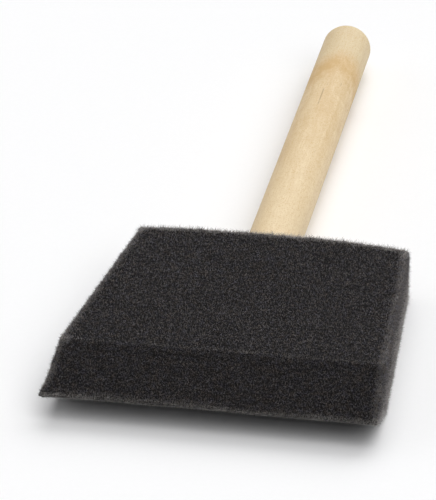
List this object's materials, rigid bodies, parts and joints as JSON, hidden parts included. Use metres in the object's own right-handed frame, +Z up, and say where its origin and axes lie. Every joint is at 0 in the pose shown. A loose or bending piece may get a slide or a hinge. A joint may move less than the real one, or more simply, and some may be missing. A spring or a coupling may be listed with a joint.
{
  "type": "foam brush",
  "caption": "Foam paint brush: a flared, crowned foam head with a bending double-bevel chisel tip, stiffened inside by a flat plastic blade, on a round domed wooden handle.",
  "frame": {"origin": "on the handle's axis, in the plane of the foam head's back face, where the handle leaves the foam", "axes": "+Y along the handle towards its domed free end, +X across the foam head, +Z up, square to the head's two broad faces"},
  "size_m": [0.0762, 0.21, 0.0162],
  "materials": {
    "wood": "matte",
    "blade_plastic": "satin",
    "staple_steel": "satin",
    "hot_melt": "gloss",
    "foam": "matte"
  },
  "bodies": {
    "brush": {"handle_dowel": "wood", "stiffener_blade": "blade_plastic", "tang_staple": "staple_steel", "glue_bond": "hot_melt", "foam_body": "foam"},
    "tip": {"foam_tip": "foam"}
  },
  "joints": [
    {"name": "tip_flex", "type": "hinge", "parent": "brush", "child": "tip", "pos_m": [0, -0.059, 0], "axis": [-1, 0, 0], "range_deg": [-30, 30], "stiffness_Nm_per_rad": 0.05}
  ]
}
